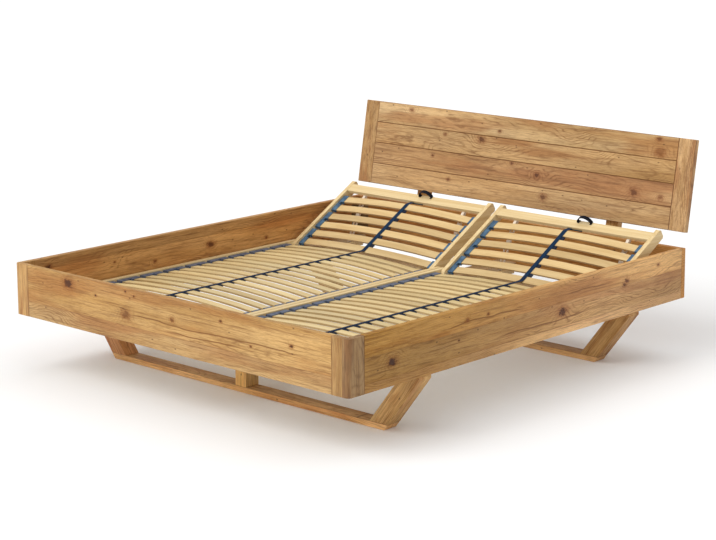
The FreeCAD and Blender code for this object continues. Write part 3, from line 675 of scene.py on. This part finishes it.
def ribbon(path, side, wide, thick):
    """A woven strap along the path. wide is its width at the start and at the end."""
    high = thick / 2
    low_round, high_round, web = STRAP_ROUND - high, high - STRAP_ROUND, high * STRAP_WEB
    rings = []
    for i, point in enumerate(path):
        half = (wide[0] + (wide[1] - wide[0]) * i / (len(path) - 1)) / 2
        corner, edge = half - STRAP_CORNER, half - STRAP_EDGE
        inner = edge - STRAP_SLOPE
        outline = ((-half, low_round), (-half, high_round), (-corner, high), (-edge, high), (-inner, web),
                   (inner, web), (edge, high), (corner, high), (half, high_round), (half, low_round),
                   (corner, -high), (-corner, -high))
        ahead = path[min(i + 1, len(path) - 1)] - path[max(i - 1, 0)]
        up = side.cross(ahead).normalized()
        if up.z < 0 and abs(ahead.normalized().z) < 0.98:
            up.negate()
        rings.append([point + side * a + up * b for a, b in outline])
    return loft(rings)


# A clip's section over the belt's width and its places along the belt with their inset, in millimetres
CLIP_PROFILE = ((-10, -9.2), (-9.2, -10), (23.2, -10), (24, -9.2), (24, -3.2), (22.8, -1.6), (20.4, -1.6),
                (20, -0.4), (18.2, -0.4), (17.8, -1.6), (15.4, -1.6), (15, -0.4), (13.2, -0.4), (12.8, -1.6),
                (10.4, -1.6), (9.6, -0.1), (8, -0.1), (7.6, -0.5), (-7.6, -0.5), (-8, -0.1), (-9.2, -0.1),
                (-10, -0.9))
CLIP_RINGS = ((-10.4, 0.8), (-9.7, 0.1), (-5.2, 0.0), (-4.8, 0.5), (4.8, 0.5), (5.2, 0.0), (9.7, 0.1),
              (10.4, 0.8))
CLIP_MIDDLE_X, CLIP_MIDDLE_Z = 7, -5


def clip(place, middle, crown):
    """A moulded clip between two slats, with a bed for the belt and ribs beside it."""
    rings = []
    for along, inset in CLIP_RINGS:
        ring = []
        for x, z in CLIP_PROFILE:
            x += inset if x < CLIP_MIDDLE_X else -inset
            z += inset * 0.6 if z < CLIP_MIDDLE_Z else -inset * 0.4
            ring.append(place(x / 1000, middle + along / 1000, crown + z / 1000))
        rings.append(ring)
    return loft(rings)


# A tie bar's places across the bed with what its section grows by there, in millimetres
BAR_RINGS = ((-7, -1.1), (-6.2, -0.2), (-2.5, 0.0), (-1.8, -0.5), (57.8, -0.5), (58.5, 0.0), (62.2, -0.2),
             (63, -1.1))
BAR_HALF_DEEP, BAR_HALF_HIGH, BAR_SIDES = 2.5, 3.5, 16
BAR_PLACE, BAR_HEIGHT = 0.3945, 0.2930


def tie_bar(place):
    """The bar that holds the end of the belt against the head rail, with a thicker knob at each end."""
    rings = []
    for x, grow in BAR_RINGS:
        ring = []
        for i in range(BAR_SIDES):
            turn = math.tau * i / BAR_SIDES
            out = [math.copysign(abs(part) ** 0.6, part) for part in (math.cos(turn), math.sin(turn))]
            s = BAR_PLACE + out[0] * (BAR_HALF_DEEP + grow) / 1000
            z = BAR_HEIGHT + out[1] * (BAR_HALF_HIGH + grow) / 1000
            ring.append(place(x / 1000, s, z))
        rings.append(ring)
    return loft(rings)


STITCH_RINGS = ((-1.2, 0.12), (-0.9, 0.30), (0.9, 0.30), (1.2, 0.12))
STITCH_SIDES = 8


def stitch(place, x, s, z):
    """One stitch of thread along the strap, with rounded ends."""
    rings = []
    for along, radius in STITCH_RINGS:
        turns = [math.tau * i / STITCH_SIDES for i in range(STITCH_SIDES)]
        rings.append([place(x + along / 1000, s + radius * math.cos(turn) / 1000,
                            z + radius * math.sin(turn) / 1000) for turn in turns])
    return loft(rings)


# The loop's strap as (x from the base's middle, z above the rail) in millimetres: the sewn foot, then an arc
LOOP_FOOT = [(30.0, 1.15), (27.0, 1.15), (24.5, 1.2), (22.6, 1.55), (21.3, 2.5), (20.6, 3.9)]
LOOP_CENTRE, ARC_CENTRE_Z, ARC_RADIUS, ARC_START_Z, ARC_STEPS = 58.0, -7.8, 39.5, 5.5, 26


def pull_loop_path():
    """The middle line of the loop's strap."""
    first = math.asin((ARC_START_Z - ARC_CENTRE_Z) / ARC_RADIUS)
    turns = [first + (math.pi - 2 * first) * i / ARC_STEPS for i in range(ARC_STEPS + 1)]
    arc = [(LOOP_CENTRE - ARC_RADIUS * math.cos(a), ARC_CENTRE_Z + ARC_RADIUS * math.sin(a)) for a in turns]
    return LOOP_FOOT + arc + [(2 * LOOP_CENTRE - x, z) for x, z in LOOP_FOOT[::-1]]


BELT_WIDE, HEAD_BELT_WIDE, LOOP_WIDE = 0.018, 0.022, 0.018
BELT_THICK, BELT_MIDDLE, BELT_LOOSE, LOOP_THICK = 0.0013, 0.0008, 0.00014, 0.0022
BELT_STEP, BEND_STEP = 0.005, 0.004
# From the foot to the hinge the belt's places are the frame's y, beyond it they are measured from the pivot
BELT_FOOT, BELT_HEAD, BEND_LOW, BEND_CORNER = -0.9936, 0.4289, 0.4800, 0.4935
BEND_HIGH, BRIDGE_END, WEB_END = 0.0330, 0.050, 0.3660
DIP_LONG, DIP_DEEP = 0.030, 0.0130
LOOP_PLACE, STITCH_HEIGHT = 0.437, 0.0023
ACROSS = Vector((1, 0, 0))
UP_THE_HEAD = Vector((0, math.cos(RAISED), math.sin(RAISED)))


def loose(along, pitch):
    """The height of the belt's middle line over the slats' crowns, which sags between two slats."""
    return BELT_MIDDLE + BELT_LOOSE * math.cos(math.tau * along / pitch)


def make_belt(side, base):
    """The belt over the fixed slats and the clip in each gap between them."""
    path = [base(0, y, SLAT_CROWN + loose(y - LAST_SLAT, SLAT_PITCH))
            for y in steps(BELT_FOOT, BELT_HEAD, BELT_STEP)]
    web = build(side + "belt_web", [ribbon(path, ACROSS, (BELT_WIDE, BELT_WIDE), BELT_THICK)],
                belt_weave, "frame")
    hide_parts(side + "belt")
    path_length(path)

    gaps = [LAST_SLAT - SLAT_PITCH * i - SLAT_PITCH / 2 for i in range(FIXED_SLATS - 1)]
    clips = build(side + "belt_clips", [clip(base, y, SLAT_CROWN) for y in gaps],
                  clip_plastic, "frame", 30.0)
    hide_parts(side + "belt")


def make_bridge(side, base, turned):
    """The belt over the hinge line, drawn along both bodies as they stand, with a bend between them; it
    rides on neither body.
    """
    bend = [base(0, y, SLAT_CROWN + BELT_MIDDLE) for y in steps(BELT_HEAD, BEND_LOW, BEND_STEP)]
    low = base(0, BEND_LOW, SLAT_CROWN + BELT_MIDDLE)
    corner = base(0, BEND_CORNER, SLAT_CROWN + BELT_MIDDLE)
    high = turned(0, BEND_HIGH, HEAD_SLAT_CROWN + BELT_MIDDLE)
    for share in (0.25, 0.5, 0.75):
        bend.append(low * (1 - share) ** 2 + corner * 2 * share * (1 - share) + high * share ** 2)
    bend += [turned(0, s, HEAD_SLAT_CROWN + BELT_MIDDLE) for s in steps(BEND_HIGH, BRIDGE_END, BEND_STEP)]
    bridge = build(side + "belt_bridge", [ribbon(bend, ACROSS, (BELT_WIDE, HEAD_BELT_WIDE), BELT_THICK)],
                   belt_weave, "")
    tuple(bend[1])
    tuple(bend[-5])
    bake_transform(bridge)
    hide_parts(side + "belt", side + "head_belt")
    path_length(bend)


def make_head_belt(side, turned):
    """The belt over the head section's slats with its clips, and the bar that holds its dipping end."""
    head = side + "head_section"
    rise = [turned(0, s, HEAD_SLAT_CROWN + loose(s - FIRST_HEAD_SLAT, HEAD_SLAT_PITCH))
            for s in steps(BRIDGE_END, WEB_END - 0.002, BELT_STEP)]
    rise += [turned(0, WEB_END + DIP_LONG * share, HEAD_SLAT_CROWN + BELT_MIDDLE - 0.0004 - DIP_DEEP * share)
             for share in (0.03, 0.15, 0.4, 0.7, 1.0)]
    strap = ribbon(rise, ACROSS, (HEAD_BELT_WIDE, HEAD_BELT_WIDE), BELT_THICK)
    head_web = build(side + "head_belt_web", [strap], head_belt_weave, head)
    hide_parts(side + "head_belt")
    path_length(rise)

    gaps = [FIRST_HEAD_SLAT + HEAD_SLAT_PITCH * i + HEAD_SLAT_PITCH / 2 for i in range(HEAD_SLATS - 1)]
    head_clips = build(side + "head_belt_clips", [clip(turned, s, HEAD_SLAT_CROWN) for s in gaps],
                       clip_plastic, head, 30.0)
    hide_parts(side + "head_belt")
    bar = build(side + "tie_bar", [tie_bar(turned)], bar_plastic, head, 50.0)
    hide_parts(side + "head_belt")


def make_pull_loop(side, turned):
    """The strap that stands up from the head cross rail, sewn down at both feet."""
    head = side + "head_section"
    middle_line = [turned(x / 1000, LOOP_PLACE, CROSS_RAIL_TOP + z / 1000) for x, z in pull_loop_path()]
    strap = ribbon(middle_line, UP_THE_HEAD, (LOOP_WIDE, LOOP_WIDE), LOOP_THICK)
    loop = build(side + "pull_loop_strap", [strap], loop_weave, head)
    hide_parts(side + "pull_loop")
    threads = [stitch(turned, x / 1000, LOOP_PLACE + s / 1000, CROSS_RAIL_TOP + STITCH_HEIGHT)
               for x in (24.6, 28.4, 87.6, 91.4) for s in (-6.4, -2.2, 2.2, 6.4)]
    stitches = build(side + "pull_loop_stitches", threads, thread, head)
    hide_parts(side + "pull_loop")
    path_length(middle_line)


for side, centre in BASE_CENTRES.items():
    base, turned = partial(on_base, centre), partial(on_head, centre)
    make_belt(side, base)
    make_bridge(side, base, turned)
    make_head_belt(side, turned)
    make_pull_loop(side, turned)

# Pale floor and soft studio light
FLOOR_SIZE, FLOOR_Z = 80.0, -0.0005


def plane(name, size, centre):
    mesh = bpy.data.meshes.new(name)
    half = size / 2
    mesh.from_pydata([(x, y, 0) for x, y in ((-half, -half), (half, -half), (half, half), (-half, half))],
                     [], [(0, 1, 2, 3)])
    made = bpy.data.objects.new(name, mesh)
    made.location = centre
    bpy.context.scene.collection.objects.link(made)
    return made


floor = plane("floor", FLOOR_SIZE, (0, 0, FLOOR_Z))
floor_paint = Shader("floor_paint", 0.9)
floor_clouds = floor_paint.noise(floor_paint.at(), 0.6, 2.0)
floor_paint.colour(floor_paint.mix(floor_clouds, (0.90, 0.90, 0.90), (0.92, 0.92, 0.92)))
floor.data.materials.append(floor_paint.material)


def sun(name, strength, softness, coming_from):
    """A sun whose light comes from that direction, with soft shadows of that many degrees."""
    light = bpy.data.lights.new(name, "SUN")
    light.energy = strength
    light.angle = math.radians(softness)
    made = bpy.data.objects.new(name, light)
    made.rotation_euler = (-Vector(coming_from)).to_track_quat("-Z", "Y").to_euler()
    bpy.context.scene.collection.objects.link(made)


sun("key", 1.35, 40.0, (-0.30, -0.62, 0.72))
sun("front", 0.65, 70.0, (-0.15, -0.90, 0.30))
sun("overhead", 1.05, 80.0, (0.25, 0.10, 1.0))
world = bpy.data.worlds.new("studio")
bpy.context.scene.world = world
world.use_nodes = True
world.node_tree.nodes["Background"].inputs["Color"].default_value = (1, 1, 1, 1)
world.node_tree.nodes["Background"].inputs["Strength"].default_value = 0.50
